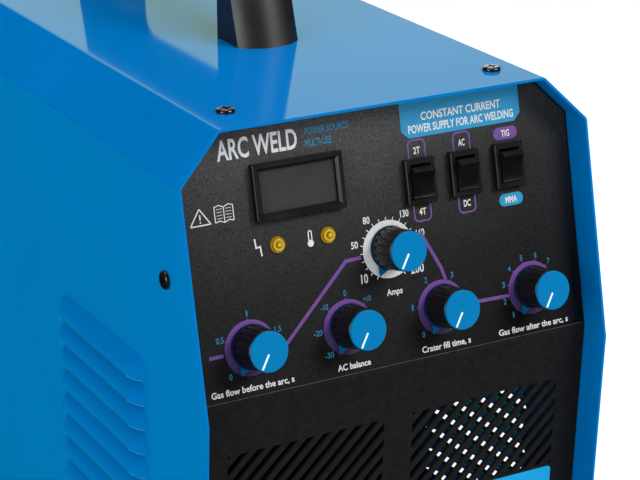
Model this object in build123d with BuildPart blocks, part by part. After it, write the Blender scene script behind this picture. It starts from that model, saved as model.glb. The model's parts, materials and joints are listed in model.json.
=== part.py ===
from build123d import *
import math
import os

os.makedirs("parts", exist_ok=True)

# A bench-top TIG welding machine, in millimetres.
# +Z is up, the control panel faces -Y, and the origin is the middle of the footprint on the floor.

# ---------------------------------------------------------------- driving dimensions
case_width = 215.0
case_length = 470.0  # front edge of the cover to its rear edge
rear_overhang = 12.0  # how far the gas inlet reaches past the cover
foot_height = 11.0
crease_height = 236.0  # where the upper and lower front faces meet
top_height = 362.0
handle_height = 52.0

upper_lean = 12.65  # degrees the control face leans back
lower_lean = 3.2  # degrees the lower face falls away
shoulder = 22.0  # chamfer between the top and the sides
cover_sheet = 1.2
panel_sheet = 1.5
panel_recess = 16.0  # the panels stand this far inside the cover's edges
panel_flange = 16.0
seam = 0.25  # gap between nested sheets
overlay_sheet = 0.4

# ---------------------------------------------------------------- places on the control face
display_centre = (-42.8, 93.2)
display_size = (45.8, 26.4)
lamp_spacing = 26.0
lamp_row = 68.5
rocker_middle = (45.1, 85.7)
rocker_pitch = 24.6
rocker_size = (15.7, 21.6)
knob_shift = 1.5  # the knobs sit a little right of the middle
knob_row = 25.1
knob_pitch = 50.6
main_knob_row = 57.2
knob_start_angle = -150.0  # degrees from straight up, clockwise, of a knob at its lowest mark

# ---------------------------------------------------------------- derived places
total_length = case_length + rear_overhang
front_y = -total_length / 2
cover_rear_y = front_y + case_length
inner_width = case_width - 2 * (cover_sheet + seam)
panel_y = front_y + panel_recess
rear_panel_y = cover_rear_y - panel_recess
floor_of_case = foot_height + cover_sheet
upper_tan = math.tan(math.radians(upper_lean))
lower_tan = math.tan(math.radians(lower_lean))
upper_rise = top_height - crease_height
lower_drop = crease_height - foot_height


def leaning_plane(x, y, z, lean):
    """A plane whose normal points forward and up by lean degrees; its own y runs up the face."""
    angle = math.radians(lean)
    return Plane(origin=(x, y, z), x_dir=(1, 0, 0), z_dir=(0, -math.cos(angle), math.sin(angle)))


upper_face = leaning_plane(0, panel_y, crease_height, upper_lean)
lower_face = leaning_plane(0, panel_y, crease_height, -lower_lean)
rear_face = Plane(origin=(0, rear_panel_y, crease_height), x_dir=(-1, 0, 0), z_dir=(0, 1, 0))


def on_face(face, x, v, height=0.0):
    """A plane parallel to the face, centred on the point x, v and raised by height."""
    point = face.from_local_coords(Vector(x, v, height))
    return Plane(origin=point, x_dir=face.x_dir, z_dir=face.z_dir)


def turned_plane(plane, degrees):
    """The plane turned about its own normal, anticlockwise as seen from in front of it."""
    x_dir = plane.x_dir.rotate(Axis((0, 0, 0), plane.z_dir), degrees)
    return Plane(origin=plane.origin, x_dir=x_dir, z_dir=plane.z_dir)


def save(builder, label):
    """Name one finished piece and write it."""
    builder.part.label = label
    export_step(builder.part, f"parts/{label}.step")


# ---------------------------------------------------------------- fasteners
screw_head_radius = 4.4
screw_head_height = 2.0
screw_radius = 2.0
screw_hole_radius = 2.3
screw_length = 7.0
recess_width = 1.2
recess_length = 4.8
recess_depth = 1.2


def pan_screw(plane, length=screw_length):
    """Add a pan-head cross-recess screw whose head stands on the plane."""
    with BuildSketch(plane) as head:
        Circle(screw_head_radius)
    extrude(head.sketch, amount=screw_head_height)
    rims = edges(Select.LAST).filter_by(GeomType.CIRCLE)
    fillet(rims.sort_by(lambda e: plane.to_local_coords(e.center()).Z)[-1], 1.4)
    with BuildSketch(plane.offset(screw_head_height)) as recess:
        Rectangle(recess_length, recess_width)
        Rectangle(recess_width, recess_length)
    extrude(recess.sketch, amount=-recess_depth, mode=Mode.SUBTRACT)
    with BuildSketch(plane) as shank:
        Circle(screw_radius)
    extrude(shank.sketch, amount=-length)


def screw_hole(plane):
    """Cut a clearance hole through the sheet at the plane."""
    with BuildSketch(plane) as hole:
        Circle(screw_hole_radius)
    extrude(hole.sketch, amount=6, both=True, mode=Mode.SUBTRACT)


top_screw_x = 70.6
top_screw_setback = 51.0
rear_screw_setback = 26.0
side_screw_places = [
    (front_y + 38.6, crease_height + 57),
    (front_y + 36.0, foot_height + 40),
    (cover_rear_y - rear_screw_setback, crease_height + 57),
    (cover_rear_y - rear_screw_setback, foot_height + 40),
]

top_screw_planes = [
    Plane(origin=(side * top_screw_x, y, top_height), x_dir=(1, 0, 0), z_dir=(0, 0, 1))
    for side in (-1, 1)
    for y in (front_y + top_screw_setback, cover_rear_y - rear_screw_setback)
]
side_screw_planes = [
    Plane(origin=(side * case_width / 2, y, z), x_dir=(0, side, 0), z_dir=(side, 0, 0))
    for side in (-1, 1)
    for y, z in side_screw_places
]
cover_screw_planes = top_screw_planes + side_screw_planes

with BuildPart() as cover_screws:
    for place in cover_screw_planes:
        pan_screw(place)
save(cover_screws, "cover_screws")

# ---------------------------------------------------------------- louvers
louver_length = 104.0
louver_start = 62.0  # front end of a louver, behind the cover's front edge
louver_rise = 11.8
louver_pitch = 12.6
louver_depth = 6.6  # from the sheet's inner face to the crest
louver_wall = 1.0
louver_count = 12
first_louver_height = crease_height - 2.0
louver_middle_y = front_y + louver_start + louver_length / 2

# Height above the sheet's inner face, length, half width and corner radius of each section of the pressing.
hood_sections = [
    (0, louver_length, louver_rise, 10.8),
    (4.4, louver_length - 10, 6.9, 6.2),
    (louver_depth, louver_length - 26, 1.6, 1.5),
]
hollow_sections = [
    (0, louver_length - 2.8, louver_rise - 1.4, 9.6),
    (3.4, louver_length - 13, 5.3, 5.0),
    (louver_depth - louver_wall, louver_length - 29, 0.9, 0.85),
]


def half_dome(sections):
    """A smooth pressed dome, cut off square along its middle line."""
    with BuildPart() as dome:
        for height, length, half_width, corner in sections:
            with BuildSketch(Plane.XY.offset(height)):
                RectangleRounded(length, 2 * half_width, corner)
        loft()
        Box(
            2 * louver_length,
            2 * louver_rise,
            4 * louver_depth,
            align=(Align.CENTER, Align.MAX, Align.CENTER),
            mode=Mode.SUBTRACT,
        )
    return dome.part


louver_hollow = half_dome(hollow_sections)

with BuildPart() as louver_hood:
    add(half_dome(hood_sections))
    add(louver_hollow, mode=Mode.SUBTRACT)

louver_planes = [
    Plane(
        origin=(side * (case_width / 2 - cover_sheet), louver_middle_y, first_louver_height - row * louver_pitch),
        x_dir=(0, side, 0),
        z_dir=(side, 0, 0),
    )
    for side in (-1, 1)
    for row in range(louver_count)
]

# ---------------------------------------------------------------- cover
bend_radius = 3.0

with BuildPart() as cover:
    with BuildSketch(Plane.YZ):
        with BuildLine():
            Polyline(
                (front_y + upper_rise * upper_tan, top_height),
                (front_y, crease_height),
                (front_y + lower_drop * lower_tan, foot_height),
                (cover_rear_y, foot_height),
                (cover_rear_y, top_height),
                close=True,
            )
        make_face()
    extrude(amount=case_width / 2, both=True)
    chamfer(edges().filter_by(Axis.Y).group_by(Axis.Z)[-1], shoulder)
    fillet(edges().filter_by(Axis.Y).group_by(Axis.Z)[-2:], bend_radius)
    open_faces = faces().filter_by(lambda f: abs(f.normal_at().Y) > 0.5 or f.normal_at().Z < -0.5)
    offset(amount=-cover_sheet, openings=open_faces, kind=Kind.INTERSECTION)
    for place in louver_planes:
        add(louver_hollow.moved(place.location), mode=Mode.SUBTRACT)
    for place in louver_planes:
        add(louver_hood.part.moved(place.location))
    for place in cover_screw_planes:
        screw_hole(place)
    handle_bolt_places = [(0, front_y + 152.0), (0, front_y + 344.0)]
    with Locations(*[(x, y, top_height) for x, y in handle_bolt_places]):
        Hole(3.3, depth=5)
save(cover, "cover")

# ---------------------------------------------------------------- front panel
vent_top = -25.5
vent_bottom = -72.5
vent_width = 82.6
vent_centres = (-47.7, 50.4)
vent_pitch = 8.65
vent_slot = 3.0
pot_bush_radius = 3.5
lamp_hole_radius = 3.2
socket_row = -150.0
power_socket_x = 72.0
power_socket_radius = 19.0
gas_outlet_x = -22.0
control_socket_x = 22.0

knob_places = [
    (knob_shift - 1.5 * knob_pitch, knob_row),
    (knob_shift - 0.5 * knob_pitch, knob_row),
    (knob_shift, main_knob_row),
    (knob_shift + 0.5 * knob_pitch, knob_row),
    (knob_shift + 1.5 * knob_pitch, knob_row),
]
rocker_places = [(rocker_middle[0] + step * rocker_pitch, rocker_middle[1]) for step in (-1, 0, 1)]
lamp_places = [(display_centre[0] + side * lamp_spacing / 2, lamp_row) for side in (-1, 1)]


def control_cutouts(clearance):
    """Cut the openings of the control face through a sheet."""
    with BuildSketch(upper_face) as cutouts:
        with Locations(display_centre):
            Rectangle(display_size[0] - 4 + clearance, display_size[1] - 4 + clearance)
        with Locations(*rocker_places):
            Rectangle(rocker_size[0] - 2 + clearance, rocker_size[1] - 2 + clearance)
        with Locations(*lamp_places):
            Circle(lamp_hole_radius + clearance / 2)
        with Locations(*knob_places):
            Circle(pot_bush_radius + 0.2 + clearance / 2)
    extrude(cutouts.sketch, amount=4, both=True, mode=Mode.SUBTRACT)


def shoulder_chamfer(inset):
    """Chamfer length of a sheet nested inside the cover by inset."""
    return shoulder - inset * (2 - math.sqrt(2))


nest = cover_sheet + seam
panel_top = top_height - nest
panel_bottom = floor_of_case + seam

with BuildPart() as front_panel:
    with BuildSketch(Plane.YZ):
        with BuildLine():
            Polyline(
                (panel_y + (panel_top - crease_height) * upper_tan, panel_top),
                (panel_y, crease_height),
                (panel_y + (crease_height - panel_bottom) * lower_tan, panel_bottom),
                (panel_y + (crease_height - panel_bottom) * lower_tan + panel_flange, panel_bottom),
                (panel_y + panel_flange, crease_height),
                (panel_y + (panel_top - crease_height) * upper_tan + panel_flange, panel_top),
                close=True,
            )
        make_face()
    extrude(amount=inner_width / 2, both=True)
    chamfer(edges().filter_by(Axis.Y).group_by(Axis.Z)[-1], shoulder_chamfer(nest))
    fillet(edges().filter_by(Axis.X).sort_by(Axis.Y)[0], 6)
    back_faces = faces().filter_by(lambda f: f.normal_at().Y > 0.5)
    offset(amount=-panel_sheet, openings=back_faces, kind=Kind.INTERSECTION)
    control_cutouts(0.4)
    for centre in vent_centres:
        with BuildSketch(lower_face):
            vent_height = vent_top - vent_bottom
            vent_middle = (vent_top + vent_bottom) / 2
            slots_needed = int((vent_width + vent_height) / vent_pitch) + 2
            with Locations((centre, vent_middle)):
                with GridLocations(vent_pitch, 1, slots_needed, 1):
                    Rectangle(vent_height * 1.6, vent_slot, rotation=45)
                Rectangle(vent_width, vent_height, mode=Mode.INTERSECT)
        extrude(amount=4, both=True, mode=Mode.SUBTRACT)
    with BuildSketch(lower_face):
        with Locations((-power_socket_x, socket_row), (power_socket_x, socket_row)):
            Circle(power_socket_radius + 0.3)
        with Locations((gas_outlet_x, socket_row)):
            Circle(6.3)
        with Locations((control_socket_x, socket_row)):
            Circle(8.3)
    extrude(amount=4, both=True, mode=Mode.SUBTRACT)
    for place in cover_screw_planes:
        screw_hole(place)
save(front_panel, "front_panel")

overlay_width = inner_width - 2 * 1.2
overlay_bottom = 2.0
overlay_top = (panel_top - crease_height) / math.cos(math.radians(upper_lean)) - 1.0

with BuildPart() as control_overlay:
    with BuildSketch(upper_face) as overlay_outline:
        with Locations((0, overlay_bottom)):
            Rectangle(overlay_width, overlay_top - overlay_bottom, align=(Align.CENTER, Align.MIN))
        chamfer(overlay_outline.vertices().group_by(Axis.Y)[-1], shoulder_chamfer(nest + 1.0))
    extrude(amount=overlay_sheet)
    control_cutouts(0.4)
save(control_overlay, "control_overlay")

strip_top = -74.0
strip_height = 14.0

with BuildPart() as socket_label:
    with BuildSketch(lower_face):
        with Locations(((vent_centres[0] + vent_centres[1]) / 2, strip_top - strip_height / 2)):
            RectangleRounded(vent_centres[1] - vent_centres[0] + vent_width, strip_height, 2)
    extrude(amount=overlay_sheet)
save(socket_label, "socket_label")

# ---------------------------------------------------------------- rear panel and its openings
fan_size = 120.0
fan_opening_radius = 56.0
fan_centre = (0.0, -88.0)  # on the rear face, measured from the crease height
breaker_centre = (58.0, 72.0)
breaker_size = (28.0, 46.0)
gland_centre = (-10.0, 72.0)
gas_inlet_centre = (-66.0, 72.0)
earth_stud_centre = (-82.0, -190.0)
guard_screw_pitch = 105.0

with BuildPart() as rear_panel:
    with BuildSketch(rear_face.offset(-panel_flange)):
        with Locations((0, (panel_top + panel_bottom) / 2 - crease_height)):
            Rectangle(inner_width, panel_top - panel_bottom)
    extrude(amount=panel_flange)
    chamfer(edges().filter_by(Axis.Y).group_by(Axis.Z)[-1], shoulder_chamfer(nest))
    offset(amount=-panel_sheet, openings=faces().sort_by(Axis.Y)[0], kind=Kind.INTERSECTION)
    with BuildSketch(rear_face):
        with Locations(fan_centre):
            Circle(fan_opening_radius)
            with GridLocations(guard_screw_pitch, guard_screw_pitch, 2, 2):
                Circle(2.3)
        with Locations(breaker_centre):
            Rectangle(breaker_size[0] + 0.6, breaker_size[1] + 0.6)
        with Locations(gland_centre):
            Circle(10.3)
        with Locations(gas_inlet_centre):
            Circle(6.3)
        with Locations(earth_stud_centre):
            Circle(4.3)
    extrude(amount=4, both=True, mode=Mode.SUBTRACT)
    for place in cover_screw_planes:
        screw_hole(place)
save(rear_panel, "rear_panel")

# ---------------------------------------------------------------- base tray, feet
tray_front = panel_y + (crease_height - panel_bottom) * lower_tan
tray_length = rear_panel_y - tray_front
tray_side = 20.0
foot_radius = 13.0
foot_places = [(sx * 82.0, front_y + y) for sx in (-1, 1) for y in (62.0, 418.0)]

with BuildPart() as base_tray:
    with BuildSketch(Plane.XY.offset(foot_height)):
        with Locations((0, tray_front + tray_length / 2)):
            Rectangle(inner_width, tray_length)
    extrude(amount=cover_sheet)
    with BuildSketch(Plane.XY.offset(foot_height)):
        for side in (-1, 1):
            with Locations((side * (inner_width - cover_sheet) / 2, tray_front + tray_length / 2)):
                Rectangle(cover_sheet, tray_length - 2 * (panel_flange + 1))
    extrude(amount=tray_side)
    with Locations(*[(x, y, floor_of_case) for x, y in foot_places]):
        Hole(screw_hole_radius, depth=5)
    with BuildSketch(Plane.XY.offset(foot_height)):
        with Locations((0, 0)):
            with GridLocations(30, 14, 4, 7):
                SlotOverall(22, 4)
    extrude(amount=cover_sheet, mode=Mode.SUBTRACT)
save(base_tray, "base_tray")

foot_recess_radius = 6.0
foot_floor = 5.0

with BuildPart() as feet:
    for x, y in foot_places:
        with BuildSketch(Plane.XY.offset(foot_height)):
            with Locations((x, y)):
                Circle(foot_radius)
        extrude(amount=-foot_height, taper=8)
    with BuildSketch():
        with Locations(*foot_places):
            Circle(foot_recess_radius)
    extrude(amount=foot_height - foot_floor, mode=Mode.SUBTRACT)
    with BuildSketch():
        with Locations(*foot_places):
            Circle(screw_hole_radius)
    extrude(amount=foot_height, mode=Mode.SUBTRACT)
save(feet, "feet")

with BuildPart() as feet_screws:
    for x, y in foot_places:
        pan_screw(Plane(origin=(x, y, foot_height - foot_floor), x_dir=(1, 0, 0), z_dir=(0, 0, -1)), 9.0)
save(feet_screws, "feet_screws")

# ---------------------------------------------------------------- handle
handle_width = 33.5
handle_middle_y = front_y + 248.0
handle_half_length = 111.0  # middle of the handle to the front of a leg's foot
leg_corner = 103.3  # middle of the handle to the side corners of a leg's foot
opening_half_length = 80.5
grip_underside = 38.0
opening_corner = 13.0
leg_slope = 0.32  # how much a leg leans inwards for each millimetre up
handle_round = 4.5

with BuildPart() as handle:
    with BuildSketch(Plane.YZ):
        with Locations((handle_middle_y, top_height)):
            Rectangle(2 * handle_half_length + 2, handle_height, align=(Align.CENTER, Align.MIN))
    extrude(amount=handle_width / 2, both=True)
    for side in (-1, 1):
        with BuildSketch(Plane.XY.offset(top_height)):
            with BuildLine():
                corner_y = handle_middle_y + side * leg_corner
                tip_y = handle_middle_y + side * handle_half_length
                far_y = handle_middle_y - side * 200
                ThreePointArc((-handle_width / 2, corner_y), (0, tip_y), (handle_width / 2, corner_y))
                Polyline(
                    (handle_width / 2, corner_y),
                    (handle_width / 2, far_y),
                    (-handle_width / 2, far_y),
                    (-handle_width / 2, corner_y),
                )
            make_face()
        extrude(
            amount=handle_height * math.hypot(1, leg_slope),
            dir=(0, -side * leg_slope, 1),
            mode=Mode.INTERSECT,
        )
    fillet(edges().filter_by(lambda e: e.center().Z > top_height + handle_height - 0.1), handle_round * 1.6)
    with BuildSketch(Plane.YZ) as finger_opening:
        with Locations((handle_middle_y, top_height)):
            Rectangle(2 * opening_half_length, grip_underside, align=(Align.CENTER, Align.MIN))
        fillet(finger_opening.vertices().group_by(Axis.Y)[-1], opening_corner)
    extrude(amount=handle_width, both=True, mode=Mode.SUBTRACT)
    with BuildSketch(Plane.XY.offset(top_height)):
        with Locations(*handle_bolt_places):
            Circle(2.6)
    extrude(amount=16, mode=Mode.SUBTRACT)
save(handle, "handle")

with BuildPart() as handle_bolts:
    for x, y in handle_bolt_places:
        with BuildSketch(Plane.XY.offset(top_height - cover_sheet)):
            with Locations((x, y)):
                RegularPolygon(5.5, 6)
        extrude(amount=-3.5)
        with BuildSketch(Plane.XY.offset(top_height - cover_sheet)):
            with Locations((x, y)):
                Circle(2.5)
        extrude(amount=cover_sheet + 15)
save(handle_bolts, "handle_bolts")

# ---------------------------------------------------------------- display and lamps
bezel_height = 3.6
bezel_wall = 3.4
bezel_edge = 0.3
window_bevel = 1.2
window_size = (display_size[0] - 2 * bezel_wall, display_size[1] - 2 * bezel_wall)


def height_on_face(face):
    """How far the middle of a face stands out from the upper control face."""
    return upper_face.to_local_coords(face.center()).Z


with BuildPart() as display_bezel:
    face_plane = on_face(upper_face, *display_centre, overlay_sheet)
    with BuildSketch(face_plane):
        RectangleRounded(*display_size, 0.8)
    extrude(amount=bezel_height)
    chamfer(faces().filter_by(lambda f: height_on_face(f) > bezel_height).edges(), bezel_edge)
    with BuildSketch(face_plane):
        Rectangle(display_size[0] - 4, display_size[1] - 4)
    extrude(amount=-10)
    with BuildSketch(face_plane.offset(bezel_height)):
        Rectangle(*window_size)
    extrude(amount=-20, mode=Mode.SUBTRACT)
    with BuildSketch(face_plane.offset(bezel_height - window_bevel)):
        Rectangle(*window_size)
    extrude(amount=window_bevel, taper=-45, mode=Mode.SUBTRACT)
save(display_bezel, "display_bezel")

with BuildPart() as display_window:
    with BuildSketch(on_face(upper_face, *display_centre, overlay_sheet)):
        Rectangle(window_size[0] - 0.2, window_size[1] - 0.2)
    extrude(amount=1.0)
save(display_window, "display_window")

with BuildPart() as display_board:
    with BuildSketch(on_face(upper_face, *display_centre, -6)):
        Rectangle(window_size[0] - 1, window_size[1] - 1)
    extrude(amount=-1.6)
    with BuildSketch(on_face(upper_face, *display_centre, -6)):
        Rectangle(window_size[0] - 6, window_size[1] - 6)
    extrude(amount=5)
save(display_board, "display_board")

lamp_rim_radius = 3.9

for name, (x, v) in zip(("lamp_left", "lamp_right"), lamp_places):
    with BuildPart() as lamp:
        with BuildSketch(on_face(upper_face, x, v, overlay_sheet)):
            Circle(lamp_rim_radius)
        extrude(amount=0.9, taper=20)
        with BuildSketch(on_face(upper_face, x, v, overlay_sheet + 0.9)):
            Circle(lamp_rim_radius - 1.0)
        extrude(amount=0.9, taper=18)
        with BuildSketch(on_face(upper_face, x, v, overlay_sheet + 1.8)):
            Circle(lamp_rim_radius - 2.1)
        extrude(amount=0.9, taper=30)
        with BuildSketch(on_face(upper_face, x, v, overlay_sheet)):
            Circle(lamp_hole_radius - 0.2)
        extrude(amount=-6)
    save(lamp, name)

# ---------------------------------------------------------------- rocker switches
rocker_bezel_height = 3.4
rocker_bezel_edge = 0.35
rocker_pivot_height = 1.0
rocker_tilt = 13.0
rocker_half_length = 7.6
rocker_half_width = 5.5
rocker_opening = (11.3, 16.3)
ridge_reach = 6.4  # pivot to each ridge, along the rocker
ridge_height = 5.8  # pivot to each ridge, outwards
ridge_edge = 0.25
rocker_dip = 1.5
trunnion_radius = 1.2
trunnion_reach = 0.65
trunnion_clearance = 0.05


def side_plane(x, v, height, lean):
    """A plane square to the X axis through a point of the control face; its y points outwards."""
    point = upper_face.from_local_coords(Vector(x, v, height))
    angle = math.radians(lean)
    return Plane(origin=point, x_dir=(0, math.sin(angle), math.cos(angle)), z_dir=(1, 0, 0))


for number, (x, v) in enumerate(rocker_places, start=1):
    pivot_plane = side_plane(x, v, rocker_pivot_height, upper_lean)
    rocker_plane = side_plane(x, v, rocker_pivot_height, upper_lean - rocker_tilt)
    with BuildPart() as rocker_frame:
        with BuildSketch(on_face(upper_face, x, v, overlay_sheet)):
            RectangleRounded(*rocker_size, 0.8)
        extrude(amount=rocker_bezel_height)
        top_faces = faces().filter_by(lambda f: height_on_face(f) > rocker_bezel_height)
        chamfer(top_faces.edges(), rocker_bezel_edge)
        with BuildSketch(on_face(upper_face, x, v, overlay_sheet)):
            Rectangle(rocker_size[0] - 2, rocker_size[1] - 2)
        extrude(amount=-17)
        with BuildSketch(on_face(upper_face, x, v, overlay_sheet + rocker_bezel_height)):
            Rectangle(*rocker_opening)
        extrude(amount=-13, mode=Mode.SUBTRACT)
        with BuildSketch(pivot_plane):
            Circle(trunnion_radius + trunnion_clearance)
        extrude(amount=rocker_half_width + trunnion_reach + 0.05, both=True, mode=Mode.SUBTRACT)
        with BuildSketch(on_face(upper_face, x, v, overlay_sheet - 17)):
            with GridLocations(1, 6, 1, 3):
                Rectangle(4.8, 0.8)
        extrude(amount=-6)
    save(rocker_frame, f"rocker_frame_{number}")

    with BuildPart() as rocker:
        with BuildSketch(rocker_plane):
            with BuildLine():
                ThreePointArc(
                    (-ridge_reach, ridge_height),
                    (0, ridge_height - rocker_dip),
                    (ridge_reach, ridge_height),
                )
                Polyline(
                    (ridge_reach, ridge_height),
                    (ridge_reach + ridge_edge, ridge_height - ridge_edge),
                    (rocker_half_length, 1.0),
                    (3.0, -2.6),
                    (-3.0, -2.6),
                    (-rocker_half_length, 1.0),
                    (-ridge_reach - ridge_edge, ridge_height - ridge_edge),
                    (-ridge_reach, ridge_height),
                )
            make_face()
        extrude(amount=rocker_half_width, both=True)
        with BuildSketch(rocker_plane):
            Circle(trunnion_radius)
        extrude(amount=rocker_half_width + trunnion_reach, both=True)
    save(rocker, f"rocker_{number}")

# ---------------------------------------------------------------- control knobs
knob_gap = 0.8  # space under the skirt
knob_height = 19.0  # control face to the top of the cap
skirt_radius = 10.4
skirt_height = 1.2
skirt_edge = 0.3
spigot_radius = 8.6  # the part of the grip that stands inside the skirt
spigot_gap = 0.05
grip_foot_radius = 10.0
grip_top_radius = 9.6
grip_edge = 0.3
cap_radius = 9.3
cap_thickness = 1.2
cap_edge = 0.6
plug_radius = 7.5  # the part of the cap that is pressed into the grip
plug_depth = 1.0
collar_height = 1.0  # plain foot of the grip below the ribs
rib_count = 18
rib_cut_radius = 1.3
rib_cut_offset = 0.75  # the cutter's centre stands this far outside the grip
shaft_radius = 3.0
shaft_clearance = 0.05
shaft_grip = 10.5  # how far the shaft reaches into the knob
pointer_root = 10.0
pointer_tip = 14.2
pointer_half_width = 2.6
pot_size = 17.0
pot_depth = 9.0
pot_face = -panel_sheet - 0.1


def skirt_top_rim(plane, edge):
    """True for the outer edge on the top of the skirt of a knob that stands on the plane."""
    at = plane.to_local_coords(edge.center())
    return abs(at.Z - skirt_height) < 0.01 and edge.length > 2 * math.pi * (skirt_radius - skirt_edge)


for number, (x, v) in enumerate(knob_places, start=1):
    knob_base = on_face(upper_face, x, v, overlay_sheet + knob_gap)
    turned = turned_plane(knob_base, -knob_start_angle)
    grip_height = knob_height - overlay_sheet - knob_gap - cap_thickness
    knob_axis = Axis(turned.origin, turned.z_dir)
    with BuildPart() as knob_grip:
        with BuildSketch(Plane(origin=turned.origin, x_dir=turned.x_dir, z_dir=-turned.y_dir)):
            with BuildLine():
                Polyline(
                    (shaft_radius + shaft_clearance, 0),
                    (spigot_radius, 0),
                    (spigot_radius, skirt_height),
                    (grip_foot_radius, skirt_height),
                    (grip_top_radius, grip_height - grip_edge),
                    (grip_top_radius - grip_edge, grip_height),
                    (plug_radius, grip_height),
                    (plug_radius, grip_height - plug_depth),
                    (0, grip_height - plug_depth),
                    (0, shaft_grip + 0.2),
                    (shaft_radius + shaft_clearance, shaft_grip + 0.2),
                    close=True,
                )
            make_face()
        revolve(axis=knob_axis)
        rib_start = skirt_height + collar_height
        with BuildSketch(turned.offset(rib_start)):
            with PolarLocations(grip_foot_radius + rib_cut_offset, rib_count):
                Circle(rib_cut_radius)
        extrude(amount=grip_height - rib_start - grip_edge, mode=Mode.SUBTRACT)
    save(knob_grip, f"knob_grip_{number}")

    with BuildPart() as knob_trim:
        with BuildSketch(turned.offset(grip_height)):
            Circle(cap_radius)
        extrude(amount=cap_thickness)
        cap_rim = edges().sort_by(lambda e: turned.to_local_coords(e.center()).Z)[-1]
        fillet(cap_rim, cap_edge)
        with BuildSketch(turned.offset(grip_height)):
            Circle(plug_radius - spigot_gap)
        extrude(amount=-plug_depth)
        with BuildSketch(turned):
            Circle(skirt_radius)
        extrude(amount=skirt_height)
        chamfer(edges().filter_by(lambda e: skirt_top_rim(turned, e)), skirt_edge)
        with BuildSketch(turned):
            with BuildLine():
                Polyline(
                    (-pointer_half_width, pointer_root),
                    (pointer_half_width, pointer_root),
                    (0, pointer_tip),
                    close=True,
                )
            make_face()
        extrude(amount=skirt_height - skirt_edge)
        with BuildSketch(turned):
            Circle(spigot_radius + spigot_gap)
        extrude(amount=skirt_height, mode=Mode.SUBTRACT)
    save(knob_trim, f"knob_trim_{number}")

    with BuildPart() as pot_shaft:
        with BuildSketch(on_face(upper_face, x, v, pot_face - pot_depth + 2)):
            Circle(shaft_radius)
        extrude(amount=pot_depth - 2 - pot_face + overlay_sheet + knob_gap + shaft_grip)
    save(pot_shaft, f"pot_shaft_{number}")

with BuildPart() as potentiometers:
    for x, v in knob_places:
        with BuildSketch(on_face(upper_face, x, v, pot_face)):
            Rectangle(pot_size, pot_size)
        extrude(amount=-pot_depth)
        with BuildSketch(on_face(upper_face, x, v, pot_face)):
            Circle(pot_bush_radius)
        extrude(amount=-pot_face + overlay_sheet + 0.3)
        with BuildSketch(on_face(upper_face, x, v, pot_face - pot_depth + 1.5)):
            Circle(shaft_radius + shaft_clearance)
        extrude(amount=30, mode=Mode.SUBTRACT)
save(potentiometers, "potentiometers")

with BuildPart() as control_board:
    with BuildSketch(on_face(upper_face, knob_shift, 40, pot_face - pot_depth - 0.2)):
        Rectangle(180, 62)
    extrude(amount=-1.6)
    with BuildSketch(on_face(upper_face, knob_shift, 40, pot_face - pot_depth - 1.8)):
        with GridLocations(34, 22, 5, 2):
            Rectangle(16, 9)
    extrude(amount=-5)
save(control_board, "control_board")

# ---------------------------------------------------------------- output sockets
socket_flange_radius = 25.0
socket_flange_height = 5.0
socket_collar_height = 12.0
socket_bore_radius = 6.6
socket_depth = 34.0

for name, x in (("socket_minus", -power_socket_x), ("socket_plus", power_socket_x)):
    with BuildPart() as power_socket:
        with BuildSketch(on_face(lower_face, x, socket_row)):
            RegularPolygon(socket_flange_radius + 1.5, 8, rotation=22.5)
        extrude(amount=socket_flange_height)
        front_faces = faces().sort_by(lambda f: lower_face.to_local_coords(f.center()).Z)
        chamfer(front_faces[-1].edges(), 1.2)
        with BuildSketch(on_face(lower_face, x, socket_row)):
            Circle(power_socket_radius - 1)
        extrude(amount=socket_collar_height, taper=4)
        with BuildSketch(on_face(lower_face, x, socket_row)):
            Circle(power_socket_radius)
        extrude(amount=-(socket_depth - socket_collar_height))
        with BuildSketch(on_face(lower_face, x, socket_row, socket_collar_height)):
            Circle(socket_bore_radius + 4.4)
        extrude(amount=-(socket_depth - 3), mode=Mode.SUBTRACT)
    save(power_socket, name)

with BuildPart() as socket_inserts:
    for x in (-power_socket_x, power_socket_x):
        with BuildSketch(on_face(lower_face, x, socket_row, socket_collar_height - 4)):
            Circle(socket_bore_radius + 4.2)
            Circle(socket_bore_radius, mode=Mode.SUBTRACT)
        extrude(amount=-(socket_depth - 8))
        with BuildSketch(on_face(lower_face, x, socket_row, socket_collar_height - 4 - (socket_depth - 8))):
            Circle(socket_bore_radius + 4.2)
        extrude(amount=-0.9)
save(socket_inserts, "socket_inserts")

gas_bore_radius = 2.5

with BuildPart() as gas_outlet:
    with BuildSketch(on_face(lower_face, gas_outlet_x, socket_row)):
        RegularPolygon(9.5, 6)
    extrude(amount=5)
    with BuildSketch(on_face(lower_face, gas_outlet_x, socket_row)):
        Circle(6.0)
    extrude(amount=14)
    with BuildSketch(on_face(lower_face, gas_outlet_x, socket_row)):
        Circle(6.0)
    extrude(amount=-18)
    with BuildSketch(on_face(lower_face, gas_outlet_x, socket_row, 14)):
        Circle(gas_bore_radius)
    extrude(amount=-26, mode=Mode.SUBTRACT)
save(gas_outlet, "gas_outlet")

with BuildPart() as control_socket:
    with BuildSketch(on_face(lower_face, control_socket_x, socket_row)):
        RectangleRounded(25, 25, 3)
    extrude(amount=3)
    with BuildSketch(on_face(lower_face, control_socket_x, socket_row)):
        Circle(8.0)
    extrude(amount=9)
    with BuildSketch(on_face(lower_face, control_socket_x, socket_row)):
        Circle(8.0)
    extrude(amount=-14)
    with BuildSketch(on_face(lower_face, control_socket_x, socket_row, 9)):
        Circle(6.4)
        with PolarLocations(4.4, 5):
            Circle(0.7, mode=Mode.SUBTRACT)
    extrude(amount=-10, mode=Mode.SUBTRACT)
save(control_socket, "control_socket")

# ---------------------------------------------------------------- fan
fan_depth = 25.0
fan_bore_radius = 54.5
fan_gap = 0.3
fan_hub_radius = 19.0
fan_shaft_radius = 2.0
blade_count = 7
blade_tip_radius = 52.5
fan_plane = on_face(rear_face, *fan_centre, -panel_sheet - fan_gap)

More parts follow.
